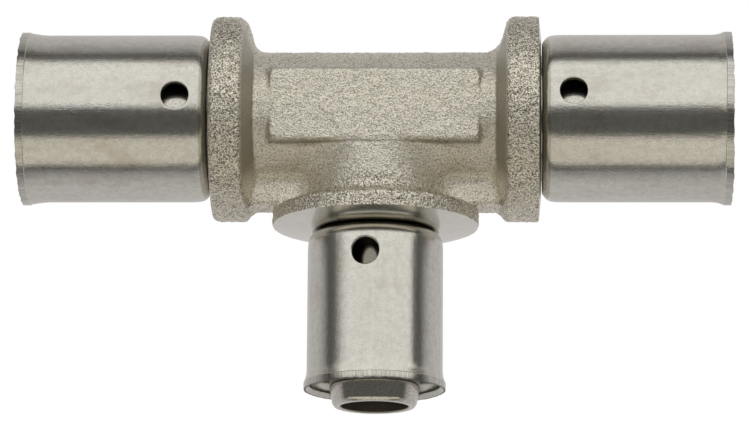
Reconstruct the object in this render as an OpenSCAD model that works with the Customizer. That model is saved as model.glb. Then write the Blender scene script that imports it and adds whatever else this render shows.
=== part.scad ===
// Press reducing tee for multilayer pipe, lying flat.
// X is the run's axis, the branch leaves along -Y, and +Z is up.
// The origin is where the run's axis and the branch's axis cross. Millimetres.

/* [Run ends, 20 mm pipe] */
// Outside diameter of each run tail, which the pipe slides over
run_tail_d = 15.9; // [15.8:0.05:16]
// Diameter of the waterway through the run
run_bore_d = 12.5; // [12.2:0.1:12.6]
// Distance from the branch axis to the end of a run tail
run_tail_end = 46.5; // [46:0.1:47]
// Outside diameter of a run sleeve
run_sleeve_d = 22.4; // [22.3:0.05:22.5]
// Distance from the branch axis to the mouth of a run sleeve
run_mouth = 47.5; // [47.2:0.1:48]
// Distance from the branch axis to the centre of a run sleeve's windows
run_window = 26.3; // [26.2:0.1:27]
// Turn of the left sleeve's first window from straight up, towards +Y
left_window_turn = 3; // [0:1:119]
// Turn of the right sleeve's first window from straight up, towards +Y
right_window_turn = 6; // [0:1:119]

/* [Branch end, 16 mm pipe] */
// Outside diameter of the branch tail
branch_tail_d = 12; // [11.9:0.05:12.1]
// Diameter of the waterway through the branch
branch_bore_d = 9; // [8.8:0.1:9.1]
// Distance from the run axis to the end of the branch tail
branch_tail_end = 39.2; // [39:0.1:40]
// Outside diameter of the branch sleeve
branch_sleeve_d = 18; // [17.9:0.05:18.1]
// Distance from the run axis to the mouth of the branch sleeve
branch_mouth = 37.06; // [36.9:0.02:37.3]
// Distance from the run axis to the centre of the branch sleeve's windows
branch_window = 19.85; // [19.8:0.05:20.2]
// Turn of the branch sleeve's first window from straight up, towards -X
branch_window_turn = 7; // [0:1:119]

/* [Sleeves] */
// Wall of the two run sleeves
run_sleeve_wall = 0.95; // [0.9:0.05:1]
// Wall of the branch sleeve
branch_sleeve_wall = 0.85; // [0.8:0.05:0.9]
// Diameter of an inspection window
window_d = 3.6; // [3:0.1:3.8]
// Number of windows around each sleeve
window_count = 3; // [2:1:3]

/* [Forged body] */
// Diameter of the three flanges
flange_d = 27.4; // [27.2:0.1:27.8]
// Diameter of the body's barrel between the run flanges
barrel_d = 17.8; // [17.6:0.1:18]
// Distance from the branch axis to the rim edge of a run flange
run_flange = 21.8; // [21.7:0.05:21.9]
// Distance from the run axis to the rim edge of the branch flange
branch_flange = 14.8; // [14.7:0.05:14.9]
// Height of the flat pads above the run axis
pad_height = 9.25; // [9.2:0.05:9.4]
// Width of the flat pads, across the run
pad_width = 9.4; // [9:0.1:9.8]
// Length of the flat pads, along the run
pad_length = 27.7; // [27:0.1:28]
// Thickness of the web between the run and the branch
web_thickness = 5.26; // [5:0.02:5.6]
// Distance from the run axis to the web's lower edge
web_edge = 12.2; // [12:0.1:12.4]
// Diameter of the branch neck between the barrel and the branch flange
neck_d = 17.8; // [17.5:0.1:18]

/* [Hidden] */
$fn = 96;

flange_r = flange_d / 2;
face_rise = 0.4;        // how far the machined cone of a run flange rises to the sleeve's neck
branch_face_rise = 0.8; // the same on the branch flange, whose cone is wider
rim_chamfer = 0.15;     // edge between the rough rim and the machined cone

sleeve_gap = 0.15;      // from a flange's face to the neck of its sleeve
neck_play = 0.1;        // between a sleeve's neck and the collar it turns on, all round and at its end
collar_height = 0.4;    // how far that collar stands above the tail
ring_length = 1.2;      // length of an insulating ring along the tail
ring_seat = 0.2;        // depth of the groove that an insulating ring snaps into
ring_clearance = 0.3;   // between an insulating ring and the sleeve around it
snap = 0.02;            // interference of the rings in their grooves

cord_d = 1.2;           // section of an O-ring
seal_proud = 0.18;      // how far an O-ring stands above the tail
seal_groove = 1.5;      // width of an O-ring groove
seal_from_tip = [12.7, 5.7]; // how far the inner and the outer groove begin from the tail's tip
tooth_depth = 0.3;      // depth of the sawtooth grooves that grip the pipe
tooth_pitch = 1.6;
tooth_gap = 3.9;        // from an insulating ring to the first tooth, so the metal under a window is smooth
tail_chamfer = 0.6;     // lead-in at the tip of a tail
bore_chamfer = 0.2;

neck_chamfer = 0.7;     // slope between a sleeve's neck end and its barrel, along and across
shoulder = 2.6;         // distance from the neck end to the full diameter
shoulder_drop = 0.35;   // how far the shoulder's start lies below the full diameter
flare_rise = 0.4;       // how far the sleeve's mouth stands above its barrel
flare_length = 1.0;     // length of the slope up to that mouth
lip_band = 1.15;        // straight band at the mouth
edge = 0.15;            // small chamfers of sheet metal edges

run_face = run_flange + face_rise;
branch_face = branch_flange + branch_face_rise;
run_neck = run_face + sleeve_gap;
branch_neck = branch_face + sleeve_gap;
run_ring = run_neck + run_sleeve_wall + neck_play;
branch_ring = branch_neck + branch_sleeve_wall + neck_play;

// Where a tail's inner (i = 0) and outer (i = 1) O-ring groove begins
function seal_start(tip, i) = tip - seal_from_tip[i];

steel = [0.80, 0.80, 0.78];
plated_brass = [0.67, 0.65, 0.59];
seal_black = [0.08, 0.08, 0.08];
ring_plastic = [0.20, 0.20, 0.21];

// Stands a shape built along +Z along the run, side = 1 for the right end or -1 for the left
module on_run(side) rotate([0, 90 * side, 0]) children();
// Stands a shape built along +Z along the branch
module on_branch() rotate([90, 0, 0]) children();

// Outline of a forged flange: drafted back, rounded rim corner, machined cone and flat seat
module flange_outline(back, neck_r, rim_edge, face, seat_r, corner) {
    fillet = 0.8;
    polygon([
        [0, back - 2], [neck_r, back - 2], [neck_r, back - fillet], [neck_r + fillet, back],
        [flange_r - corner, back + 0.8],
        for (a = [15:15:75]) [flange_r - corner + corner * sin(a), back + 0.8 + corner * (1 - cos(a))],
        [flange_r, back + 0.8 + corner], [flange_r, rim_edge - rim_chamfer],
        [flange_r - rim_chamfer, rim_edge], [seat_r, face], [0, face]
    ]);
}

// Outline of an insert tail: collar, ring groove, sawteeth, two O-ring grooves and a chamfered tip
module tail_outline(r, root, ring, tip) {
    floor_r = r + seal_proud - cord_d;
    tooth_start = ring + ring_length + tooth_gap;
    late_tooth = seal_start(tip, 0) + seal_groove + 1.2;
    difference() {
        polygon([
            [0, root - 1], [r + collar_height, root - 1], [r + collar_height, ring],
            [r - ring_seat, ring], [r - ring_seat, ring + ring_length], [r, ring + ring_length],
            [r, tip - tail_chamfer], [r - tail_chamfer / 2, tip], [0, tip]
        ]);
        for (i = [0, 1])
            translate([floor_r, seal_start(tip, i)]) square([cord_d * 2, seal_groove]);
        for (i = [0:2]) tooth(r, tooth_start + i * tooth_pitch);
        for (i = [0:1]) tooth(r, late_tooth + i * tooth_pitch);
    }
}
// One sawtooth groove: a square face towards the body and a slope towards the tip
module tooth(r, start)
    polygon([[r + 1, start], [r - tooth_depth, start], [r, start + tooth_pitch * 0.7], [r + 1, start + 1.1]]);

// Outline of a press sleeve: turned-in neck, chamfered shoulder, barrel and flared mouth
module sleeve_outline(r, wall, hole_r, neck, mouth) {
    bore_r = r - wall;
    neck_r = r - shoulder_drop - neck_chamfer;
    lip_r = r + flare_rise;
    flare = mouth - lip_band - flare_length;
    polygon([
        [hole_r, neck], [neck_r - edge, neck], [neck_r, neck + edge],
        [neck_r + neck_chamfer, neck + neck_chamfer + edge], [r - 0.15, neck + shoulder * 0.5],
        [r - 0.04, neck + shoulder * 0.75], [r, neck + shoulder],
        [r, flare], [lip_r, mouth - lip_band], [lip_r, mouth - edge], [lip_r - edge, mouth],
        [lip_r - wall + edge, mouth], [lip_r - wall, mouth - edge], [lip_r - wall, mouth - lip_band],
        [bore_r, flare], [bore_r, neck + shoulder], [bore_r - 0.1, neck + shoulder * 0.55],
        [bore_r - 0.3, neck + wall], [hole_r, neck + wall]
    ]);
}

// A whole press sleeve along +Z, with its windows turned by turn degrees from +X towards +Y
module press_sleeve(r, wall, hole_r, neck, mouth, window, turn)
    difference() {
        rotate_extrude() sleeve_outline(r, wall, hole_r, neck, mouth);
        for (i = [0:window_count - 1])
            rotate([0, 0, turn + i * 360 / window_count])
                translate([0, 0, window]) rotate([0, 90, 0]) cylinder(d = window_d, h = r * 2, $fn = 48);
    }

// An insulating ring snapped into its groove
module insulating_ring(tail_r, sleeve_bore_r, start)
    translate([0, 0, start]) rotate_extrude()
        translate([tail_r - ring_seat - snap, 0])
            square([sleeve_bore_r - ring_clearance - edge - tail_r + ring_seat, ring_length]);

// An O-ring in the middle of its groove
module o_ring(tail_r, groove_start)
    translate([0, 0, groove_start + seal_groove / 2]) rotate_extrude()
        translate([tail_r + seal_proud - cord_d / 2 - snap, 0]) circle(d = cord_d, $fn = 32);

module tee_body()
    color(plated_brass) difference() {
        union() {
            on_run(1) cylinder(d = barrel_d, h = run_flange * 2 - 8, center = true);
            for (side = [-1, 1]) on_run(side) run_end();
            on_branch() branch_end();
            on_branch() cylinder(d = neck_d, h = branch_flange - 2);
            flat_pads();
            web();
        }
        on_run(1) cylinder(d = run_bore_d, h = run_tail_end * 2 + 2, center = true);
        on_branch() cylinder(d = branch_bore_d, h = branch_tail_end + 1);
        for (side = [-1, 1]) on_run(side) bore_mouth(run_bore_d, run_tail_end);
        on_branch() bore_mouth(branch_bore_d, branch_tail_end);
    }
module run_end()
    rotate_extrude() {
        flange_outline(run_flange - 5.6, barrel_d / 2, run_flange, run_face, 10.3, 1.5);
        tail_outline(run_tail_d / 2, run_face, run_ring, run_tail_end);
    }
module branch_end()
    rotate_extrude() {
        flange_outline(branch_flange - 3.7, neck_d / 2, branch_flange, branch_face, 8.25, 1.3);
        tail_outline(branch_tail_d / 2, branch_face, branch_ring, branch_tail_end);
    }
// The two flats on the barrel, front and back
module flat_pads() cube([pad_length, pad_width, pad_height * 2], center = true);
// The web in the plane of the tee, between the run flanges and the branch flange
module web()
    translate([0, -web_edge / 2, 0])
        cube([(run_flange - 4.4) * 2, web_edge, web_thickness], center = true);
module bore_mouth(d, tip)
    translate([0, 0, tip - bore_chamfer])
        cylinder(d1 = d, d2 = d + bore_chamfer * 4, h = bore_chamfer * 2);

module run_sleeve(turn)
    press_sleeve(run_sleeve_d / 2, run_sleeve_wall, run_tail_d / 2 + collar_height + neck_play,
                 run_neck, run_mouth, run_window, turn);
module sleeve_right() color(steel) on_run(1) run_sleeve(180 - right_window_turn);
module sleeve_left() color(steel) on_run(-1) run_sleeve(left_window_turn);
module sleeve_branch()
    color(steel) on_branch()
        press_sleeve(branch_sleeve_d / 2, branch_sleeve_wall, branch_tail_d / 2 + collar_height + neck_play,
                     branch_neck, branch_mouth, branch_window, 90 + branch_window_turn);

module run_ring_solid() insulating_ring(run_tail_d / 2, run_sleeve_d / 2 - run_sleeve_wall, run_ring);
module insulating_ring_left() color(ring_plastic) on_run(-1) run_ring_solid();
module insulating_ring_right() color(ring_plastic) on_run(1) run_ring_solid();
module insulating_ring_branch()
    color(ring_plastic) on_branch()
        insulating_ring(branch_tail_d / 2, branch_sleeve_d / 2 - branch_sleeve_wall, branch_ring);

module run_seal(i) o_ring(run_tail_d / 2, seal_start(run_tail_end, i));
module branch_seal(i) o_ring(branch_tail_d / 2, seal_start(branch_tail_end, i));
module o_ring_left_inner() color(seal_black) on_run(-1) run_seal(0);
module o_ring_left_outer() color(seal_black) on_run(-1) run_seal(1);
module o_ring_right_inner() color(seal_black) on_run(1) run_seal(0);
module o_ring_right_outer() color(seal_black) on_run(1) run_seal(1);
module o_ring_branch_inner() color(seal_black) on_branch() branch_seal(0);
module o_ring_branch_outer() color(seal_black) on_branch() branch_seal(1);

tee_body();
sleeve_left();
sleeve_right();
sleeve_branch();
insulating_ring_left();
insulating_ring_right();
insulating_ring_branch();
o_ring_left_inner();
o_ring_left_outer();
o_ring_right_inner();
o_ring_right_outer();
o_ring_branch_inner();
o_ring_branch_outer();
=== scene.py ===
"""Looks of a press reducing tee fitting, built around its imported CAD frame."""

import math

import bmesh
import bpy
import numpy as np
from mathutils import Matrix, Vector


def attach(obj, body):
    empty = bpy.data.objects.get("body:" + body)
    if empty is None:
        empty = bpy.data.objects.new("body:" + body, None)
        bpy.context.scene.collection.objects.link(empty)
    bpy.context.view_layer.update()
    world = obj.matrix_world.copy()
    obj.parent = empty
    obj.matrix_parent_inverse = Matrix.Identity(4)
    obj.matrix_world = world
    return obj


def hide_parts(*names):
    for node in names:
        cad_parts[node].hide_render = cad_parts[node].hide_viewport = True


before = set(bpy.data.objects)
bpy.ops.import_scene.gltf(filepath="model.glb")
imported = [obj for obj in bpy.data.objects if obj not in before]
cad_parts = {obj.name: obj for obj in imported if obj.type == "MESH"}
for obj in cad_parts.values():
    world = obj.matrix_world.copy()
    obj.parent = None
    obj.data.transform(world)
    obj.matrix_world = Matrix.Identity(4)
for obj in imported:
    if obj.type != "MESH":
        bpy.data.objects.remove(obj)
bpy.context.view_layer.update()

MM = 0.001
RANDOM_SEED = 20

# Columns are where a turned part's own x, y and z (outward along its axis) point.
RIGHT = np.array([[0, 0, 1], [0, 1, 0], [-1, 0, 0]], float)
LEFT = np.array([[0, 0, -1], [0, 1, 0], [1, 0, 0]], float)
BRANCH = np.array([[1, 0, 0], [0, 0, -1], [0, 1, 0]], float)

# ---- sizes in millimetres, as in the CAD part ----

FLANGE_R = 13.7
BARREL_R = 8.9
BARREL_END = 18
PAD = (13.85, 4.7, 9.25)
PAD_DRAFT = math.radians(20)
WEB_EDGE = 12.25
WEB_HALF = 3.0
NECK_R = 8.9
NECK_END = 14
RUN_FLANGE_END = 22.0
BRANCH_FLANGE_END = 16.6
BRANCH_BACK = 12.7
BRANCH_BACK_ACROSS = 0.299
BRANCH_BACK_ALONG = 0.954
BACK_START = 16.07
BACK_START_R = 9.3
BACK_LEAN = 0.36
DIE_SQUASH = 0.955
FORGING_SHIFT = 0.09
# The flanges' drawn backs start and are in full at these distances from the branch's axis. Near the
# parting plane, where height over run radius is within the second pair, they give way to grain.
DRAWN_START, DRAWN_FULL = 15.9, 16.2
PARTING_START, PARTING_FULL = 0.72, 0.9
COLLAR = 0.4
PLAY = 0.1
LIP_BAND = 1.15
LIP_PROUD = 0.4
WINDOW_R = 1.8
WINDOW_COUNT = 3
RING_LENGTH = 1.2
RING_SEAT = 0.2
SEAL_D = 1.2
SEAL_PROUD = 0.18
SEAL_GROOVE = 1.5
SEAL_FROM_TIP = (12.7, 5.7)
TOOTH_DEPTH = 0.3
TOOTH_PITCH = 1.6
TOOTH_GAP = 3.9


class End:
    """One end of the fitting: its tail, sleeve and rings."""

    def __init__(self, **values):
        self.__dict__.update(values)
        self.neck = self.face + PLAY
        self.ring = self.neck + self.wall + PLAY
        self.seals = [self.tip - back + SEAL_GROOVE / 2 for back in SEAL_FROM_TIP]


RUN = dict(
    tail_r=7.95,
    bore_r=6.25,
    tip=46.5,
    sleeve_r=11.2,
    wall=0.95,
    mouth=47.5,
    window=26.3,
    face=22.05,
    seat_r=10.3,
    rim_face=21.75,
)
ENDS = [
    End(name="left", turned=LEFT, turn=3, flare=1.9, seed=1, **RUN),
    End(name="right", turned=RIGHT, turn=174, flare=1.0, seed=2, **RUN),
    End(
        name="branch",
        turned=BRANCH,
        turn=97,
        flare=1.0,
        seed=3,
        tail_r=6.0,
        bore_r=4.5,
        tip=39.2,
        sleeve_r=9.0,
        wall=0.85,
        mouth=37.06,
        window=19.85,
        face=15.6,
        seat_r=8.25,
        rim_face=14.8,
    ),
]

# ---- fineness of the meshes ----

SKIN_STEP = 0.31
CUTTER_SEGMENTS = 128
TAIL_SEGMENTS = 80
RUN_BORE_SEGMENTS = 96
BRANCH_BORE_SEGMENTS = 80
RING_SEGMENTS = 128
SEAL_SEGMENTS = 120
WINDOW_CELLS = 16
COLUMNS_BETWEEN = 40
BODY_SHARP_ANGLE = 38
SHARP_ANGLE = 40

# ---- mesh tools ----


def make_object(name, points, faces, materials=(), indices=None):
    """A mesh object from points in millimetres."""
    mesh = bpy.data.meshes.new(name)
    points = np.asarray(points, float) * MM
    if isinstance(faces, np.ndarray):
        faces = faces.tolist()
    mesh.from_pydata(points.tolist(), [], faces)
    for material in materials:
        mesh.materials.append(material)
    if indices is not None:
        mesh.polygons.foreach_set("material_index", np.asarray(indices, np.int32))
    built = bpy.data.objects.new(name, mesh)
    bpy.context.scene.collection.objects.link(built)
    return built


def face_outwards(built):
    """Turns every face of a closed mesh outwards."""
    mesh = built.data
    work = bmesh.new()
    work.from_mesh(mesh)
    bmesh.ops.recalc_face_normals(work, faces=work.faces)
    if work.calc_volume(signed=True) < 0:
        bmesh.ops.reverse_faces(work, faces=work.faces)
    work.to_mesh(mesh)
    work.free()


def shade(built, sharp_angle):
    """Smooth shading with sharp edges above an angle in degrees."""
    built.data.shade_smooth()
    built.data.set_sharp_from_angle(angle=math.radians(sharp_angle))


def rounded(points, steps=4):
    """A closed outline of (r, z) or (r, z, radius) points, with its corners rounded."""
    result = []
    count = len(points)
    for i, point in enumerate(points):
        here = np.array(point[:2], float)
        radius = point[2] if len(point) > 2 else 0
        before = np.array(points[i - 1][:2], float) - here
        after = np.array(points[(i + 1) % count][:2], float) - here
        if radius <= 0:
            result.append(here)
            continue
        start = here + before / np.hypot(*before) * min(radius, 0.48 * np.hypot(*before))
        end = here + after / np.hypot(*after) * min(radius, 0.48 * np.hypot(*after))
        for t in np.linspace(0, 1, steps + 1):
            result.append((1 - t) ** 2 * start + 2 * t * (1 - t) * here + t * t * end)
    return np.array(result)


def lathe(outline, segments):
    """Points and faces of a closed (r, z) outline turned round its z axis."""
    outline = np.asarray(outline, float)
    on_axis = outline[:, 0] < 1e-6
    angles = np.arange(segments) * 2 * math.pi / segments
    points, ids = [], []
    for (r, z), pole in zip(outline, on_axis):
        start = len(points)
        if pole:
            points.append((0, 0, z))
            ids.append([start] * segments)
        else:
            points += [(r * math.cos(a), r * math.sin(a), z) for a in angles]
            ids.append(list(range(start, start + segments)))
    faces = []
    for i in range(len(outline)):
        k = (i + 1) % len(outline)
        if on_axis[i] and on_axis[k]:
            continue
        for j in range(segments):
            n = (j + 1) % segments
            corners = [ids[i][j], ids[i][n], ids[k][n], ids[k][j]]
            faces.append(list(dict.fromkeys(corners)))
    return np.array(points), faces


def merged(parts):
    """Several (points, faces) as one."""
    points, faces, start = [], [], 0
    for some_points, some_faces in parts:
        points.append(some_points)
        faces += [[start + v for v in face] for face in some_faces]
        start += len(some_points)
    return np.concatenate(points), faces


def boolean(target, other, operation):
    """Applies one boolean to target and removes the other object."""
    modifier = target.modifiers.new("boolean", "BOOLEAN")
    modifier.operation = operation
    modifier.object = other
    modifier.solver = "MANIFOLD"
    bpy.context.view_layer.update()
    evaluated = target.evaluated_get(bpy.context.evaluated_depsgraph_get())
    result = bpy.data.meshes.new_from_object(evaluated)
    target.modifiers.clear()
    old = target.data
    target.data = result
    bpy.data.meshes.remove(old)
    bpy.data.objects.remove(other)


def waves(points, random, count, shortest, longest):
    """A smooth random field of about unit height at points in millimetres."""
    total = np.zeros(len(points))
    for _ in range(count):
        direction = random.normal(size=3)
        direction /= np.linalg.norm(direction)
        length = math.exp(random.uniform(math.log(shortest), math.log(longest)))
        total += np.sin(points @ direction * 2 * math.pi / length + random.uniform(0, 2 * math.pi))
    return total * math.sqrt(2 / count)


# ---- the forged body as a distance field ----


def meet(a, b, radius):
    """Both solids at once, with the edge between them rounded."""
    a, b = a + radius, b + radius
    return np.minimum(np.maximum(a, b), 0) + np.hypot(np.maximum(a, 0), np.maximum(b, 0)) - radius


def join(a, b, radius):
    """Either solid, with a fillet between them."""
    return np.maximum(radius, np.minimum(a, b)) - np.hypot(
        np.maximum(radius - a, 0), np.maximum(radius - b, 0)
    )


def smooth_step(value, low, high):
    """0 up to low, 1 from high on, and a soft change between them."""
    t = np.clip((value - low) / (high - low), 0, 1)
    return t * t * (3 - 2 * t)


def forged_field(x, y, z):
    """Distance to the forged body's skin, before its ends are machined.

    The last argument of each meet is an edge's rounding, and of each join a fillet."""
    side, x, z = x, np.abs(x), np.abs(z)
    y = y + FORGING_SHIFT
    run_radius = np.hypot(y, z)
    barrel = np.maximum(np.hypot(y, z * DIE_SQUASH) - BARREL_R, x - BARREL_END)
    above = z - PAD[2]
    pad_side = (np.abs(y) - PAD[1]) * math.cos(PAD_DRAFT) + above * math.sin(PAD_DRAFT)
    pad_end = (x - PAD[0]) * math.cos(PAD_DRAFT) + above * math.sin(PAD_DRAFT)
    pad = meet(meet(pad_side, pad_end, 0.95), above, 0.2)
    neck = np.hypot(x, z * DIE_SQUASH) - NECK_R - 0.06 * np.clip(y + 8.5, -2, 4)
    neck = np.maximum(neck, np.maximum(y + 2, -y - NECK_END))
    web = meet(z - WEB_HALF, -y - WEB_EDGE, 0.45)
    web = np.maximum(web, np.maximum(x - BARREL_END, y))
    # Towards the parting plane the dies leave softer edges on a flange than they do in front.
    upward = y / (run_radius + 0.01)
    over, under = smooth_step(upward, 0.72, 0.96), smooth_step(-upward, 0.8, 0.98)
    lean = BACK_LEAN - 0.08 * (over + under)
    back_at = BACK_START + over * np.where(side < 0, 0.08, 0.38) - under * 0.2
    run_back = (back_at + (run_radius - BACK_START_R) * lean - x) / np.hypot(1, lean)
    rim = meet(run_radius - FLANGE_R, x - RUN_FLANGE_END, np.where(side < 0, 1.2, 0.5))
    run_flange = meet(rim, run_back, 0.16 + over * np.where(side < 0, 1.15, 0.65) + under * 0.5)
    branch_radius = np.hypot(x, z)
    branch_back = (branch_radius - FLANGE_R) * BRANCH_BACK_ACROSS + (y + BRANCH_BACK) * BRANCH_BACK_ALONG
    branch_flange = meet(branch_radius - FLANGE_R, branch_back, 0.3)
    branch_flange = np.maximum(branch_flange, -y - BRANCH_FLANGE_END)
    body = join(barrel, web, 1.1)
    body = meet(join(body, neck, 2.5), above, 0.22)
    body = join(body, pad, 0.25)
    body = join(body, run_flange, 0.28 + over * np.where(side < 0, 1.1, 1.6) + under * 0.7)
    return join(body, branch_flange, 0.7)


def surface_net(field, low, step):
    """Points and quads on the zero surface of a sampled field."""
    inside = field < 0
    shape = np.array(field.shape) - 1
    corners = [(a, b, c) for a in (0, 1) for b in (0, 1) for c in (0, 1)]
    count = sum(
        inside[a : a + shape[0], b : b + shape[1], c : c + shape[2]].astype(np.int8)
        for a, b, c in corners
    )
    cells = np.argwhere((count > 0) & (count < 8))
    number = np.full(shape, -1)
    number[tuple(cells.T)] = np.arange(len(cells))
    total, hits = np.zeros((len(cells), 3)), np.zeros(len(cells))
    for a in corners:
        for axis in range(3):
            if a[axis]:
                continue
            b = np.array(a)
            b[axis] = 1
            here, there = field[tuple((cells + a).T)], field[tuple((cells + b).T)]
            crossed = (here < 0) != (there < 0)
            place = np.tile(np.array(a, float), (crossed.sum(), 1))
            place[:, axis] += (here / (here - there))[crossed]
            total[crossed] += place
            hits[crossed] += 1
    points = low + (cells + total / hits[:, None]) * step
    quads = []
    for axis in range(3):
        u, v = (axis + 1) % 3, (axis + 2) % 3
        ahead = np.diff(inside.astype(np.int8), axis=axis)
        edges = np.argwhere(ahead != 0)
        keep = (edges[:, u] > 0) & (edges[:, v] > 0)
        keep &= (edges[:, u] < shape[u]) & (edges[:, v] < shape[v])
        edges = edges[keep]
        around = []
        for du, dv in ((0, 0), (-1, 0), (-1, -1), (0, -1)):
            cell = edges.copy()
            cell[:, u] += du
            cell[:, v] += dv
            around.append(number[tuple(cell.T)])
        ring = np.stack(around, 1)
        leaving = ahead[tuple(edges.T)] < 0
        ring[~leaving] = ring[~leaving][:, ::-1]
        quads.append(ring)
    return points, np.concatenate(quads)


def forging(materials):
    """The forged skin as a closed mesh, uneven like shot-blasted brass.

    The blast roughens the flanges' rims most and their drawn backs least."""
    low = np.array([-24.0, -17.4, -14.4])
    high = -low * np.array([1, 0, 1]) + np.array([0, 14.4, 0])
    axes = [np.arange(low[i], high[i], SKIN_STEP) for i in range(3)]
    grid = np.meshgrid(*axes, indexing="ij", sparse=True)
    field = forged_field(*grid)
    points, quads = surface_net(field, low, SKIN_STEP)
    nudges = 0.02 * np.eye(3)
    slope = np.stack(
        [forged_field(*(points + nudge).T) - forged_field(*(points - nudge).T) for nudge in nudges], 1
    )
    slope /= np.linalg.norm(slope, axis=1)[:, None] + 1e-12
    points = points - slope * forged_field(*points.T)[:, None] * 0.8
    random = np.random.default_rng(RANDOM_SEED)
    x, y, z = points.T
    run_radius = np.hypot(y, z)
    branch_rim = smooth_step(np.hypot(x, z), 13.2, 13.6) * (y < -12.5)
    rim = np.maximum(smooth_step(run_radius, 13.2, 13.6), branch_rim)
    parting = smooth_step(np.abs(y) / (run_radius + 0.01), PARTING_START, PARTING_FULL)
    drawn = smooth_step(np.abs(x), DRAWN_START, DRAWN_FULL) * smooth_step(run_radius, 9.0, 9.6)
    drawn = drawn * (1 - rim) * (1 - parting)
    blast = 0.034 + 0.017 * rim - 0.025 * drawn
    uneven = waves(points, random, 40, 2.5, 9) * 0.012 + random.normal(size=len(points)) * blast
    points = points + slope * uneven[:, None]
    return make_object("tee_body_forging", points, quads, materials, np.zeros(len(quads)))


def face_cutter(end):
    """What is beyond the machined cone of a flange."""
    outline = [(0, end.face)]
    cone_r, clear_r = FLANGE_R - 0.15, FLANGE_R + 2.8
    for share in np.linspace(0, 1.1, 12):
        fall = (end.face - end.rim_face) * share**1.25
        outline.append((end.seat_r + (cone_r - end.seat_r) * share, end.face - fall))
    outline += [(clear_r, end.face - 1.9), (clear_r, end.face + 6), (0, end.face + 6)]
    points, faces = lathe(outline, CUTTER_SEGMENTS)
    return points @ end.turned.T, faces


def tooth(r, start):
    """One sawtooth groove: a square face towards the body and a slope towards the tip."""
    return [(r, start), (r - TOOTH_DEPTH, start + 0.06, 0.05), (r, start + 1.05, 0.1)]


def tail_outline(end):
    """Outline of a turned tail with its collar, ring seat, grip teeth and seal grooves."""
    r, ring = end.tail_r, end.ring
    groove_r = r + SEAL_PROUD - SEAL_D
    outline = [
        (0, end.face - 1),
        (r + COLLAR, end.face - 1),
        (r + COLLAR, end.face, 0.12),
        (r + COLLAR, ring, 0.08),
        (r - RING_SEAT, ring, 0.04),
        (r - RING_SEAT, ring + RING_LENGTH, 0.04),
        (r, ring + RING_LENGTH, 0.06),
    ]
    late = end.tip - SEAL_FROM_TIP[0] + SEAL_GROOVE + 1.2
    starts = [ring + RING_LENGTH + TOOTH_GAP + i * TOOTH_PITCH for i in range(3)]
    for start in starts:
        outline += tooth(r, start)
    for back, teeth in zip(SEAL_FROM_TIP, ([late, late + TOOTH_PITCH], [])):
        start = end.tip - back
        outline += [
            (r, start, 0.1),
            (groove_r, start, 0.15),
            (groove_r, start + SEAL_GROOVE, 0.15),
            (r, start + SEAL_GROOVE, 0.1),
        ]
        for tooth_start in teeth:
            outline += tooth(r, tooth_start)
    outline += [
        (r, end.tip - 2.8, 0.3),
        (r - 0.42, end.tip - 0.4, 0.2),
        (r - 0.75, end.tip, 0.1),
        (end.bore_r - 0.5, end.tip),
        (end.bore_r - 0.5, end.tip - 2),
        (0, end.tip - 2),
    ]
    return rounded(outline)


def bore_outline(end):
    """What the drill and its mouth bevel take out, from the middle of the fitting outwards."""
    return [
        (0, 0),
        (end.bore_r, 0),
        (end.bore_r, end.tip - 0.15),
        (end.bore_r + 0.2, end.tip + 0.05),
        (end.bore_r + 0.2, end.tip + 1),
        (0, end.tip + 1),
    ]


def tee_body(materials):
    """The whole body: forged skin, machined ends and bores in one closed mesh."""
    body = forging(materials)

    def tool(name, parts):
        points, faces = merged(parts)
        made = make_object(name, points, faces, materials, np.ones(len(faces)))
        face_outwards(made)
        return made

    boolean(body, tool("cutters", [face_cutter(end) for end in ENDS]), "DIFFERENCE")
    tails = []
    for end in ENDS:
        points, faces = lathe(tail_outline(end), TAIL_SEGMENTS)
        tails.append((points @ end.turned.T, faces))
    boolean(body, tool("tails", tails), "UNION")
    left, right, branch = ENDS
    mirrored = [(r, -z) for r, z in bore_outline(left)]
    through = mirrored[:0:-1] + bore_outline(right)[1:]
    points, faces = lathe(through, RUN_BORE_SEGMENTS)
    boolean(body, tool("run_bore", [(points @ RIGHT.T, faces)]), "DIFFERENCE")
    points, faces = lathe(bore_outline(branch), BRANCH_BORE_SEGMENTS)
    boolean(body, tool("branch_bore", [(points @ BRANCH.T, faces)]), "DIFFERENCE")
    body.name = "tee_body_visual"
    shade(body, BODY_SHARP_ANGLE)
    return body


# ---- press sleeves ----

WINDOW_EDGE = 0.18
WINDOW_MARGIN = 0.5
LIP_WEAR = 0.13
BURR_REACH = 0.25
BURR_R = 0.006
BURR_Z = 0.013
FLARE_SLACK = 0.03
SHEARED_DEPTH = 0.26
ROW_GAP = 0.9


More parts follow.
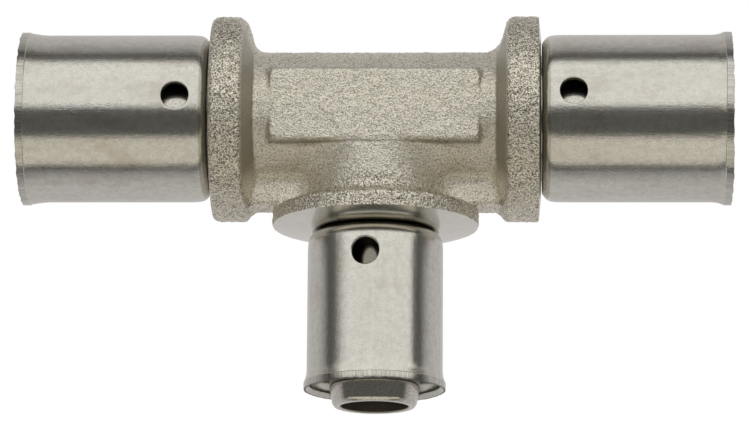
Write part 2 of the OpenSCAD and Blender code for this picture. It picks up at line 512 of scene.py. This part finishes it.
def sleeve_outline(end):
    """Outer and inner (r, z) lines of a sleeve's wall, both from its neck to its mouth."""
    r, wall, neck, mouth = end.sleeve_r, end.wall, end.neck, end.mouth
    hole, bore, lip = end.tail_r + COLLAR + PLAY, r - wall, r + LIP_PROUD
    band = mouth - LIP_BAND
    flare = band - end.flare
    outer = rounded(
        [
            (hole, neck + 0.4),
            (hole, neck, 0.12),
            (r - 1.1, neck, 0.3),
            (r - 0.36, neck + 0.62, 0.3),
            (r - 0.14, neck + 1.05, 0.35),
            (r - 0.04, neck + 1.6, 0.4),
            (r, neck + 2.4, 0.6),
            (r, flare, 0.9),
            (lip - 0.1, band - 0.07, 0.35),
            (lip - 0.08, band, 0.03),
            (lip, band + 0.07, 0.06),
            (lip + 0.01, mouth - 0.5, 0.2),
            (lip - 0.02, mouth, 0.05),
            (lip - 0.12, mouth + 0.005),
        ],
        6,
    )
    inner = rounded(
        [
            (hole, neck + 0.4),
            (hole, neck + wall, 0.1),
            (bore - 0.35, neck + wall, 0.5),
            (bore - 0.1, neck + 1.5, 0.4),
            (bore, neck + 2.6, 0.5),
            (bore, flare, 0.7),
            (lip - wall, band, 0.4),
            (lip - wall, mouth - 0.6, 0.2),
            (lip - 0.24, mouth, 0.05),
            (lip - 0.12, mouth + 0.005),
        ],
        6,
    )
    return outer, inner


def with_rows(line, rows):
    """The line with its points in the rows' span replaced by one at each row, and how many come before."""
    before = line[: np.argmax(line[:, 1] > rows[0] - 0.04)]
    after = line[len(line) - np.argmax(line[::-1, 1] < rows[-1] + 0.04) :]
    level = np.stack([np.interp(rows, line[:, 1], line[:, 0]), rows], 1)
    return np.concatenate([before, level, after]), len(before)


def ripple(random, angles, crests):
    """Random waves round a sleeve, one for each number of crests."""
    return sum(random.normal() * np.sin(n * angles + random.uniform(0, 6.28)) for n in crests)


def window_rings(from_outer, from_inner, edge):
    """(across, along) rings and their share of the wall's depth, through a window from outside in."""
    turns = np.arange(4 * WINDOW_CELLS) * 2 * math.pi / (4 * WINDOW_CELLS) - 0.75 * math.pi
    circle = np.stack([np.cos(turns), np.sin(turns)], 1)
    big = circle * (WINDOW_R + WINDOW_EDGE)
    shares = (0.45, 0.8, 1)
    rounding = [
        (circle * (WINDOW_R + WINDOW_EDGE * (1 - math.sin(a))), edge * (1 - math.cos(a)))
        for a in np.radians([30, 60, 90])
    ]
    return (
        [(from_outer * (1 - share) + big * share, 0) for share in shares]
        + rounding
        + [(circle * WINDOW_R, depth) for depth in (0.4, 0.6)]
        + [(plane, 1 - depth) for plane, depth in rounding[::-1]]
        + [(from_inner * (1 - share) + big * share, 1) for share in shares[::-1]]
    )


def press_sleeve(end, materials):
    """A drawn steel sleeve whose inspection windows are cut through its wall.

    Its wall is a grid of rows and columns. Each window takes a square of cells out of both faces,
    and rings of vertices lead from the squares to the round hole."""
    outer, inner = sleeve_outline(end)
    half = WINDOW_R + WINDOW_MARGIN
    band = end.mouth - LIP_BAND
    rows = np.concatenate(
        [
            np.linspace(end.window - half, end.window + half, WINDOW_CELLS + 1),
            np.arange(end.window + half + 0.7, band - end.flare - 1.0, ROW_GAP),
        ]
    )

    def radius_at(line, z):
        k = np.argmax(line[:, 1] >= end.neck + 0.9)
        return np.interp(z, line[k:, 1], line[k:, 0])

    outer_line, first_outer = with_rows(outer, rows)
    inner_line, first_inner = with_rows(inner, rows)
    loop = np.concatenate([outer_line, inner_line[-2:0:-1]])
    inner_at = len(outer_line) + len(inner_line) - 2 - first_inner
    random = np.random.default_rng(RANDOM_SEED + end.seed)
    alpha = half / end.sleeve_r
    pitch = 2 * math.pi / WINDOW_COUNT
    start = math.radians(end.turn)
    sector = np.concatenate(
        [
            np.linspace(-alpha, alpha, WINDOW_CELLS + 1)[:-1],
            np.linspace(alpha, pitch - alpha, COLUMNS_BETWEEN + 1)[:-1],
        ]
    )
    angles = np.concatenate([sector + start + k * pitch for k in range(WINDOW_COUNT)])
    lanes = [k * (WINDOW_CELLS + COLUMNS_BETWEEN) for k in range(WINDOW_COUNT)]
    columns = len(angles)
    burr = ripple(random, angles, (2, 3, 5, 7, 11, 17, 23, 31, 47, 61))
    slack = ripple(random, angles, (1, 2, 3, 4))
    points = np.zeros((len(loop), columns, 3))
    for i, (r, z) in enumerate(loop):
        near_lip = max(0.0, 1 - abs(z - end.mouth) / BURR_REACH)
        at_flare = max(0.0, 1 - abs(z - band) / 0.6) * (z < end.mouth - 0.6)
        ring_r = r + near_lip * BURR_R * burr
        ring_z = z + near_lip * (BURR_Z * burr - LIP_WEAR) + at_flare * FLARE_SLACK * slack
        points[i] = np.stack([ring_r * np.cos(angles), ring_r * np.sin(angles), ring_z], 1)
    ids = np.arange(points.size // 3).reshape(len(loop), columns)
    keep = np.ones((len(loop), columns), bool)
    for lane in lanes:
        keep[first_outer : first_outer + WINDOW_CELLS, lane : lane + WINDOW_CELLS] = False
        keep[inner_at - WINDOW_CELLS : inner_at, lane : lane + WINDOW_CELLS] = False
    beside, below = np.roll(ids, -1, 1), np.roll(ids, -1, 0)
    quads = np.stack([ids, beside, np.roll(below, -1, 1), below], -1)[keep]
    faces = quads.tolist()
    # Faces at the mouth, like those in the window walls below, take the torn edge's material, whose
    # near-black colour is painted shade.
    at_mouth = points[..., 2].reshape(-1)[quads].min(axis=1) > end.mouth - SHEARED_DEPTH
    torn_and_shaded = at_mouth.astype(int).tolist()
    points = points.reshape(-1, 3).tolist()

    def square(first, step, lane):
        """Grid vertices round a window's square, from its low corner."""
        n = WINDOW_CELLS
        low, high = first, first + step * n
        path = [(low, lane + j) for j in range(n)]
        path += [(low + step * j, lane + n) for j in range(n)]
        path += [(high, lane + n - j) for j in range(n)]
        path += [(high - step * j, lane) for j in range(n)]
        return [int(ids[i, j % columns]) for i, j in path]

    def flat(ring, centre):
        """Vertices of a square as (across, along) from the middle of the window at that angle."""
        x, y, z = np.array([points[v] for v in ring]).T
        return np.stack([np.hypot(x, y) * np.sin(np.arctan2(y, x) - centre), z - end.window], 1)

    def bridge(ring, following):
        """Faces between two rings with as many vertices."""
        count = len(ring)
        return [
            [ring[i], ring[(i + 1) % count], following[(i + 1) % count], following[i]]
            for i in range(count)
        ]

    edge = WINDOW_EDGE / end.wall
    for k, lane in enumerate(lanes):
        centre = start + k * pitch
        outside, inside = square(first_outer, 1, lane), square(inner_at, -1, lane)
        previous = outside
        for plane, depth in window_rings(flat(outside, centre), flat(inside, centre), edge):
            z = plane[:, 1] + end.window
            r = radius_at(outer, z) * (1 - depth) + radius_at(inner, z) * depth
            a = centre + np.arcsin(plane[:, 0] / r)
            first = len(points)
            points += np.stack([r * np.cos(a), r * np.sin(a), z], 1).tolist()
            ring = list(range(first, len(points)))
            faces += bridge(previous, ring)
            torn_and_shaded += [int(edge < depth < 1)] * len(ring)
            previous = ring
        faces += bridge(previous, inside)
        torn_and_shaded += [0] * len(inside)
    sleeve = make_object(
        f"sleeve_{end.name}_visual", np.array(points) @ end.turned.T, faces, materials, torn_and_shaded
    )
    face_outwards(sleeve)
    shade(sleeve, SHARP_ANGLE)
    return sleeve


def turned_ring(name, end, outline, material, segments=RING_SEGMENTS):
    """A closed ring turned from its outline round an end's axis."""
    points, faces = lathe(outline, segments)
    made = make_object(name, points @ end.turned.T, faces, [material])
    face_outwards(made)
    shade(made, SHARP_ANGLE)
    return made


def insulating_ring(end, material):
    """A moulded plastic ring, with a small step on its mouth side."""
    low = end.tail_r - RING_SEAT - 0.02
    high = end.sleeve_r - end.wall - 0.47
    start, stop = end.ring, end.ring + RING_LENGTH
    outline = [
        (low, start, 0.06),
        (high, start, 0.14),
        (high, stop - 0.3, 0.1),
        (high - 0.18, stop - 0.22, 0.08),
        (high - 0.22, stop, 0.12),
        (low, stop, 0.06),
    ]
    return turned_ring(f"insulating_ring_{end.name}_visual", end, rounded(outline), material)


def o_ring(end, which, material):
    """A moulded seal, with the fine flash line of its mould on both diameters."""
    centre_r = end.tail_r + SEAL_PROUD - SEAL_D / 2 - 0.02
    centre_z = end.seals[which]
    outline = []
    for a in np.radians(np.arange(0, 360, 10)):
        flash = 0.018 if abs(math.sin(a)) < 0.05 else 0
        r = SEAL_D / 2 + flash - 0.01
        outline.append((centre_r + r * math.cos(a), centre_z + r * math.sin(a)))
    name = f"o_ring_{end.name}_{('inner', 'outer')[which]}"
    return turned_ring(name + "_visual", end, outline, material, SEAL_SEGMENTS)


# ---- colours, as linear red, green and blue: a pair is the ends of a soft variation ----

PLATING = ((0.85, 0.81, 0.70), (0.91, 0.87, 0.77))
PLATING_RIM_AND_HIGHLIGHT = (1.0, 0.955, 0.835)
PIT = (0.13, 0.105, 0.07)
CREASE_SHADE = (0.2, 0.18, 0.14)
DRAWN_BACK_SHADE = (0.42, 0.395, 0.33)
TURNED = ((0.66, 0.645, 0.59), (0.70, 0.685, 0.63))
TAIL_SHADE = (0.22, 0.21, 0.18)
SCUFF = (0.32, 0.30, 0.25)
BORE_SHADE = (0.36, 0.335, 0.27)
STEEL = ((0.65, 0.638, 0.59), (0.70, 0.69, 0.645))
STEEL_SPECK = (0.27, 0.26, 0.24)
STEEL_SATIN = (0.34, 0.32, 0.285)
STEEL_CLOUD = (0.47, 0.45, 0.41)
STEEL_SMEAR = (0.44, 0.38, 0.32)
STEEL_SCORE = (0.22, 0.21, 0.195)
TORN_STEEL_AND_SHADE = ((0.075, 0.07, 0.06), (0.24, 0.23, 0.20))
RUBBER = ((0.012, 0.012, 0.012), (0.035, 0.034, 0.033))
PLASTIC = ((0.022, 0.022, 0.024), (0.045, 0.045, 0.048))
PAPER = ((0.14, 0.14, 0.135), (0.16, 0.16, 0.155))

# ---- materials ----


class Shader:
    """Adds nodes to one material and links them."""

    def __init__(self, name):
        self.material = bpy.data.materials.new(name)
        self.material.use_nodes = True
        self.tree = self.material.node_tree
        self.tree.nodes.clear()
        self.place = self.node("TexCoord").outputs["Object"]

    def node(self, kind, inputs=None, **settings):
        made = self.tree.nodes.new("ShaderNode" + kind)
        for key, value in settings.items():
            setattr(made, key, value)
        for key, value in (inputs or {}).items():
            if isinstance(value, bpy.types.NodeSocket):
                self.tree.links.new(value, made.inputs[key])
            else:
                made.inputs[key].default_value = value
        return made

    def math(self, operation, a, b=0.0, c=0.0):
        return self.node("Math", {0: a, 1: b, 2: c}, operation=operation).outputs[0]

    def times(self, a, b):
        return self.math("MULTIPLY", a, b)

    def added(self, a, share, b):
        """a times share, plus b."""
        return self.math("MULTIPLY_ADD", a, share, b)

    def opposite(self, value):
        """1 less the value."""
        return self.math("SUBTRACT", 1.0, value)

    def either(self, switch, a, b):
        """a where the switch is 1, and b where it is 0."""
        return self.math("ADD", self.times(a, switch), self.times(b, self.opposite(switch)))

    def stretched(self, scale):
        """The place with each axis scaled."""
        return self.node("Mapping", {"Vector": self.place, "Scale": scale}).outputs[0]

    def noise(self, size, detail=2.0, roughness=0.5, vector=None):
        """Soft noise whose features are about size millimetres."""
        inputs = {
            "Vector": vector or self.place,
            "Scale": 1 / (size * MM),
            "Detail": detail,
            "Roughness": roughness,
        }
        return self.node("TexNoise", inputs).outputs["Fac"]

    def cells(self, size):
        """Soft dents about size millimetres apart."""
        inputs = {"Vector": self.place, "Scale": 1 / (size * MM)}
        return self.node("TexVoronoi", inputs, feature="SMOOTH_F1").outputs["Distance"]

    def span(self, value, low, high, to_low=0.0, to_high=1.0):
        """The value's span from low to high, mapped to another and held at its ends."""
        inputs = {"Value": value, "From Min": low, "From Max": high, "To Min": to_low, "To Max": to_high}
        return self.node("MapRange", inputs).outputs[0]

    def blend(self, share, a, b):
        """From colour a to colour b by the share."""
        made = self.node("Mix", data_type="RGBA")
        for key, value in ((0, share), (6, a), (7, b)):
            if isinstance(value, bpy.types.NodeSocket):
                self.tree.links.new(value, made.inputs[key])
            elif key == 0:
                made.inputs[key].default_value = value
            else:
                made.inputs[key].default_value = (*value, 1)
        return made.outputs[2]

    def radius(self, a, b):
        """The distance from an axis, from the two parts of the place across it."""
        squares = self.math("ADD", self.math("POWER", a, 2.0), self.math("POWER", b, 2.0))
        return self.math("SQRT", squares)

    def bump(self, height, depth):
        """A normal for a surface raised by height times depth metres."""
        return self.node("Bump", {"Height": height, "Distance": depth}).outputs[0]

    def finish(self, **inputs):
        """The material with a Principled surface that takes these inputs."""
        named = {key.replace("_", " "): value for key, value in inputs.items()}
        surface = self.node("BsdfPrincipled", named).outputs[0]
        self.node("OutputMaterial", {"Surface": surface})
        return self.material


def forged_skin():
    """Shot-blasted and plated brass: dark pits and grain over soft stains.

    The pits are strongest on the flanges' rims, and the flanges' drawn backs are smooth, their darker
    colour painted shade."""
    s = Shader("forged_skin")
    x, y, z = s.node("SeparateXYZ", {0: s.place}).outputs
    far_x, far_y, far_z = (s.math("ABSOLUTE", part) for part in (x, y, z))
    run_radius, branch_radius = s.radius(y, z), s.radius(x, z)
    on_branch = s.times(branch_radius, s.math("LESS_THAN", y, -12.0 * MM))
    rims = s.span(s.math("MAXIMUM", run_radius, on_branch), 12.8 * MM, 13.5 * MM)
    parting = s.span(s.math("DIVIDE", far_y, run_radius), PARTING_START, PARTING_FULL)
    stain = s.noise(5.0, 4, 0.6)
    normal = s.bump(s.added(s.cells(0.26), 0.7, s.noise(0.2, 3, 0.6)), 0.09 * MM)

    colour = s.blend(s.span(stain, 0.35, 0.65), *PLATING)
    # The rims are a lighter tone of the plating. The branch end, from mid-neck on, is painted lighter as a
    # painted highlight.
    rims_and_highlight = s.math("MAXIMUM", rims, s.span(y, -8.0 * MM, -10.0 * MM))
    colour = s.blend(rims_and_highlight, colour, PLATING_RIM_AND_HIGHLIGHT)

    pits = s.span(s.noise(0.2, 2, 0.6), s.span(rims, 0, 1, 0.53, 0.58), s.span(rims, 0, 1, 0.38, 0.41))
    patchy = s.span(s.noise(1.8, 2, 0.5), 0.35, 0.6, 0.55, 1.0)
    strong = s.times(s.times(rims, patchy), s.added(parting, -0.6, 1.0))
    colour = s.blend(s.times(pits, s.span(strong, 0, 1, 0.6, 1.0)), colour, PIT)

    # A fine dark line of painted shade runs where each pad's side meets the barrel.
    height = s.math("ABSOLUTE", s.math("ADD", y, FORGING_SHIFT * MM))
    from_crease = s.math("ABSOLUTE", s.math("SUBTRACT", height, (PAD[1] + 0.35) * MM))
    beside_pad = s.times(
        s.math("LESS_THAN", far_x, 14.0 * MM), s.math("GREATER_THAN", far_z, 7.4 * MM)
    )
    crease_shade = s.times(s.span(from_crease, 0.22 * MM, 0.06 * MM), beside_pad)
    colour = s.blend(s.times(crease_shade, 0.55), colour, CREASE_SHADE)

    # Painted shade: the flanges' drawn backs, which face the middle of the fitting, are painted darker.
    back = s.span(far_x, DRAWN_START * MM, DRAWN_FULL * MM)
    back = s.times(back, s.span(run_radius, 9.1 * MM, 9.5 * MM))
    drawn = s.times(back, s.opposite(s.math("MAXIMUM", rims, parting)))
    colour = s.blend(drawn, colour, DRAWN_BACK_SHADE)
    rough = s.span(stain, 0.3, 0.7, 0.33, 0.41)
    return s.finish(Base_Color=colour, Metallic=0.9, Roughness=rough, Normal=normal)


def turned_metal():
    """Plated brass from the lathe: fine feed lines on the faces, scuffed tails and duller bores. Painted
    shade darkens the bores and the branch's tail inside its sleeve.
    """
    s = Shader("turned_metal")
    x, y, z = s.node("SeparateXYZ", {0: s.place}).outputs
    run_radius, branch_radius = s.radius(y, z), s.radius(x, z)
    on_branch = s.math("LESS_THAN", y, -14.2 * MM)
    radius = s.either(on_branch, branch_radius, run_radius)
    line = s.either(
        on_branch, s.added(branch_radius, 0.8, y), s.added(run_radius, 0.8, s.math("ABSOLUTE", x))
    )
    tail = s.span(radius, 8.45 * MM, 8.4 * MM)
    bore = s.math("LESS_THAN", radius, s.added(on_branch, -1.75 * MM, 6.35 * MM))
    inside_sleeve = s.times(on_branch, s.math("GREATER_THAN", y, -36.5 * MM))
    inside_sleeve = s.times(inside_sleeve, s.math("GREATER_THAN", branch_radius, 4.8 * MM))
    along_line = {"W": line, "Scale": 1 / (0.12 * MM), "Detail": 2.0}
    feed = s.node("TexNoise", along_line, noise_dimensions="1D").outputs["Fac"]
    marks = s.noise(1.6, 4, 0.6)
    cut = s.times(feed, s.added(tail, -0.7, 1.0))
    normal = s.bump(s.added(marks, 0.3, cut), 0.0016 * MM)

    colour = s.blend(s.span(marks, 0.35, 0.65), *TURNED)
    # Painted shade: the branch's tail inside its sleeve is painted darker.
    colour = s.blend(s.times(tail, inside_sleeve), colour, TAIL_SHADE)
    scuffs = s.times(tail, s.span(s.noise(0.22, 4, 0.65), 0.46, 0.62, 0, 0.65))
    colour = s.blend(scuffs, colour, SCUFF)
    # Painted shade: the bores are painted darker, and they are also rougher.
    colour = s.blend(s.times(bore, s.span(marks, 0.35, 0.65, 0.75, 1.0)), colour, BORE_SHADE)
    duller = s.math("ADD", tail, s.times(bore, 4.0))
    rough = s.added(duller, 0.04, s.span(feed, 0.3, 0.7, 0.12, 0.16))
    return s.finish(Base_Color=colour, Metallic=1.0, Roughness=rough, Normal=normal)


def drawn_steel(name, along, lip):
    """Satin stainless steel with specks, clouds and smears, and faint streaks along the sleeve.

    Axis number along is the sleeve's. Past lip millimetres out, the pressed lip is scored."""
    s = Shader(name)

    def drawn_out(share):
        """The place with the sleeve's own axis scaled, so that features are longer along it."""
        return s.stretched(tuple(share if i == along else 1.0 for i in range(3)))

    out = s.math("ABSOLUTE", s.node("SeparateXYZ", {0: s.place}).outputs[along])
    scored = s.math("GREATER_THAN", out, lip * MM)
    streaks = s.noise(0.30, 3, 0.6, vector=drawn_out(0.03))
    wide = s.noise(2.2, 2, 0.5, vector=drawn_out(0.12))
    satin = s.noise(0.16, 2, 0.6)
    height = s.added(streaks, 0.6, s.times(s.noise(0.55, 2, 0.5), 0.8))
    normal = s.bump(s.added(satin, 1.3, height), 0.009 * MM)

    colour = s.blend(s.span(wide, 0.3, 0.7), *STEEL)
    specks = s.span(s.noise(0.28, 3, 0.65), 0.66, 0.74)
    colour = s.blend(s.times(specks, 0.6), colour, STEEL_SPECK)
    colour = s.blend(s.span(satin, 0.5, 0.68, 0, 0.34), colour, STEEL_SATIN)
    colour = s.blend(s.span(s.noise(0.9, 3, 0.6), 0.42, 0.62, 0, 0.3), colour, STEEL_CLOUD)
    smears = s.noise(3.5, 4, 0.62, vector=drawn_out(0.45))
    colour = s.blend(s.span(smears, 0.52, 0.66, 0, 0.34), colour, STEEL_SMEAR)
    scores = s.span(s.noise(0.16, 2, 0.6, vector=drawn_out(0.03)), 0.42, 0.6)
    colour = s.blend(s.times(scored, s.times(scores, 0.4)), colour, STEEL_SCORE)
    rough = s.span(streaks, 0.3, 0.7, 0.13, 0.19)
    return s.finish(Base_Color=colour, Metallic=1.0, Roughness=rough, Normal=normal)


def sheared_edge_and_shade():
    """The dull torn edge that the punch and the cut-off leave on the sleeve's steel. Its near-black colour
    is painted shade in the window walls and on the mouth's edge.
    """
    s = Shader("sheared_edge_and_shade")
    tears = s.noise(0.12, 3, 0.6, vector=s.stretched((1.0, 1.0, 0.4)))
    colour = s.blend(s.span(tears, 0.4, 0.65), *TORN_STEEL_AND_SHADE)
    return s.finish(Base_Color=colour, Metallic=0.9, Roughness=0.45, Normal=s.bump(tears, 0.02 * MM))


def seal_rubber():
    """Black EPDM with a faint bloom."""
    s = Shader("seal_rubber")
    grain, bloom = s.noise(0.12, 3, 0.6), s.noise(1.5, 3, 0.6)
    colour = s.blend(s.span(bloom, 0.35, 0.7), *RUBBER)
    rough = s.span(bloom, 0.3, 0.7, 0.42, 0.6)
    return s.finish(Base_Color=colour, Roughness=rough, Normal=s.bump(grain, 0.004 * MM))


def ring_plastic():
    """Dark moulded plastic with faint flow marks."""
    s = Shader("ring_plastic")
    grain, flow = s.noise(0.2, 3, 0.6), s.noise(2.5, 3, 0.6)
    colour = s.blend(s.span(flow, 0.35, 0.7), *PLASTIC)
    rough = s.span(grain, 0.3, 0.7, 0.32, 0.45)
    return s.finish(Base_Color=colour, Roughness=rough, Normal=s.bump(grain, 0.003 * MM))


# ---- build the pieces ----

skin, turned = forged_skin(), turned_metal()
SCORED_BAND = 1.1
run_steel = drawn_steel("drawn_steel_run", 0, ENDS[0].mouth - SCORED_BAND)
branch_steel = drawn_steel("drawn_steel_branch", 1, ENDS[2].mouth - SCORED_BAND)
steel = {"left": run_steel, "right": run_steel, "branch": branch_steel}
rubber, plastic, sheared_and_shade = seal_rubber(), ring_plastic(), sheared_edge_and_shade()

body = tee_body([skin, turned])
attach(body, "tee")
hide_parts("tee_body")
for end in ENDS:
    piece = press_sleeve(end, [steel[end.name], sheared_and_shade])
    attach(piece, f"{end.name}_sleeve")
    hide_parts(f"sleeve_{end.name}")
    piece = insulating_ring(end, plastic)
    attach(piece, "tee")
    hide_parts(f"insulating_ring_{end.name}")
    for which, label in enumerate(("inner", "outer")):
        piece = o_ring(end, which, rubber)
        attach(piece, "tee")
        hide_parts(f"o_ring_{end.name}_{label}")

# ---- floor, lights and camera ----


LAMP_DISTANCE = 1.5
FADED = 0.12


def softbox(name, low_tilt, high_tilt, left, right, radiance, fade=0.0):
    """A soft panel seen from low_tilt to high_tilt degrees off straight up, towards +Y.

    It reaches left and right by those shares of its distance. Its left end fades over the fade share."""
    light = bpy.data.lights.new(name, "AREA")
    light.shape = "RECTANGLE"
    light.size = (left + right) * LAMP_DISTANCE
    light.size_y = 2 * LAMP_DISTANCE * math.tan(math.radians((high_tilt - low_tilt) / 2))
    strength = max(radiance)
    light.color = [c / strength for c in radiance]
    light.energy = strength * math.pi * light.size * light.size_y
    if fade:
        light.use_nodes = True
        nodes, links = light.node_tree.nodes, light.node_tree.links
        place = nodes.new("ShaderNodeNewGeometry").outputs["Parametric"]
        parts = nodes.new("ShaderNodeSeparateXYZ")
        links.new(place, parts.inputs[0])
        ramp = nodes.new("ShaderNodeMapRange")
        ramp.interpolation_type = "SMOOTHSTEP"
        ramp.inputs["From Max"].default_value = fade
        ramp.inputs["To Min"].default_value = FADED
        links.new(parts.outputs[0], ramp.inputs[0])
        links.new(ramp.outputs[0], nodes["Emission"].inputs["Strength"])
    panel = bpy.data.objects.new(name, light)
    a = math.radians((low_tilt + high_tilt) / 2)
    away = Vector((0, math.sin(a), math.cos(a)))
    across = Vector((1, 0, 0))
    turned_to = Matrix((across, away.cross(across), away)).transposed().to_4x4()
    shift = across * (right - left) / 2
    panel.matrix_world = Matrix.Translation((away + shift) * LAMP_DISTANCE) @ turned_to
    panel.visible_camera = False
    bpy.context.scene.collection.objects.link(panel)


softbox("overhead_softbox", 3, 72.5, 2.4, 2.15, (0.88, 0.867, 0.84), fade=0.34)
softbox("front_softbox", -79.5, -38.5, 2.2, 2.2, (0.63, 0.588, 0.505))

ROOM_TONE = (0.115, 0.115, 0.108, 1)
BACKDROP = (1, 1, 1, 1)
world = bpy.data.worlds.new("studio")
bpy.context.scene.world = world
world.use_nodes = True
nodes, links = world.node_tree.nodes, world.node_tree.links
nodes.clear()
seen = nodes.new("ShaderNodeLightPath").outputs["Is Camera Ray"]
tone = nodes.new("ShaderNodeMix")
tone.data_type = "RGBA"
tone.inputs[6].default_value = ROOM_TONE
tone.inputs[7].default_value = BACKDROP
links.new(seen, tone.inputs[0])
sky = nodes.new("ShaderNodeBackground")
links.new(tone.outputs[2], sky.inputs["Color"])
out = nodes.new("ShaderNodeOutputWorld")
links.new(sky.outputs[0], out.inputs[0])

FLOOR_Z = -FLANGE_R - 0.02
FLOOR_HALF = 4000
FLOOR_GLOW = (1, 0.972, 0.975, 1)
floor = make_object(
    "floor",
    [(x * FLOOR_HALF, y * FLOOR_HALF, FLOOR_Z) for x, y in ((-1, -1), (1, -1), (1, 1), (-1, 1))],
    [[0, 1, 2, 3]],
)
s = Shader("pale_floor")
reach = s.node("VectorMath", {0: s.place}, operation="LENGTH").outputs["Value"]
lamp = s.span(reach, 20 * MM, 150 * MM, 0.60, 0.32)
table = s.node("Emission", {"Color": FLOOR_GLOW, "Strength": lamp}).outputs[0]
paper = s.blend(s.noise(3, 3), *PAPER)
matt = s.node("BsdfDiffuse", {"Color": paper}).outputs[0]
lit = s.node("AddShader", {0: table, 1: matt}).outputs[0]
glow = s.node("Emission", {"Color": BACKDROP, "Strength": 1.0}).outputs[0]
camera_ray = s.node("LightPath").outputs["Is Camera Ray"]
mixed = s.node("MixShader", {0: camera_ray, 1: lit, 2: glow}).outputs[0]
s.node("OutputMaterial", {"Surface": mixed})
floor.data.materials.append(s.material)

CAMERA_TILT = math.radians(12.5)
CAMERA_PAN = math.radians(1.8)
CAMERA_PLACE = Vector((18.25, -139.5, 570.0)) * MM
SENSOR_WIDTH = 36
LENS_LENGTH = 210.24
st, ct, sp, cp = math.sin(CAMERA_TILT), math.cos(CAMERA_TILT), math.sin(CAMERA_PAN), math.cos(CAMERA_PAN)
right_axis = Vector((cp, sp * st, -sp * ct))
up_axis = Vector((0, ct, st))
back_axis = Vector((sp, -st * cp, ct * cp))
lens = bpy.data.cameras.new("camera")
lens.sensor_width = SENSOR_WIDTH
lens.lens = LENS_LENGTH
lens.clip_start, lens.clip_end = 0.01, 20
camera = bpy.data.objects.new("camera", lens)
camera.matrix_world = (
    Matrix.Translation(CAMERA_PLACE) @ Matrix((right_axis, up_axis, back_axis)).transposed().to_4x4()
)
bpy.context.scene.collection.objects.link(camera)
bpy.context.scene.camera = camera
bpy.context.scene.view_settings.view_transform = "Standard"
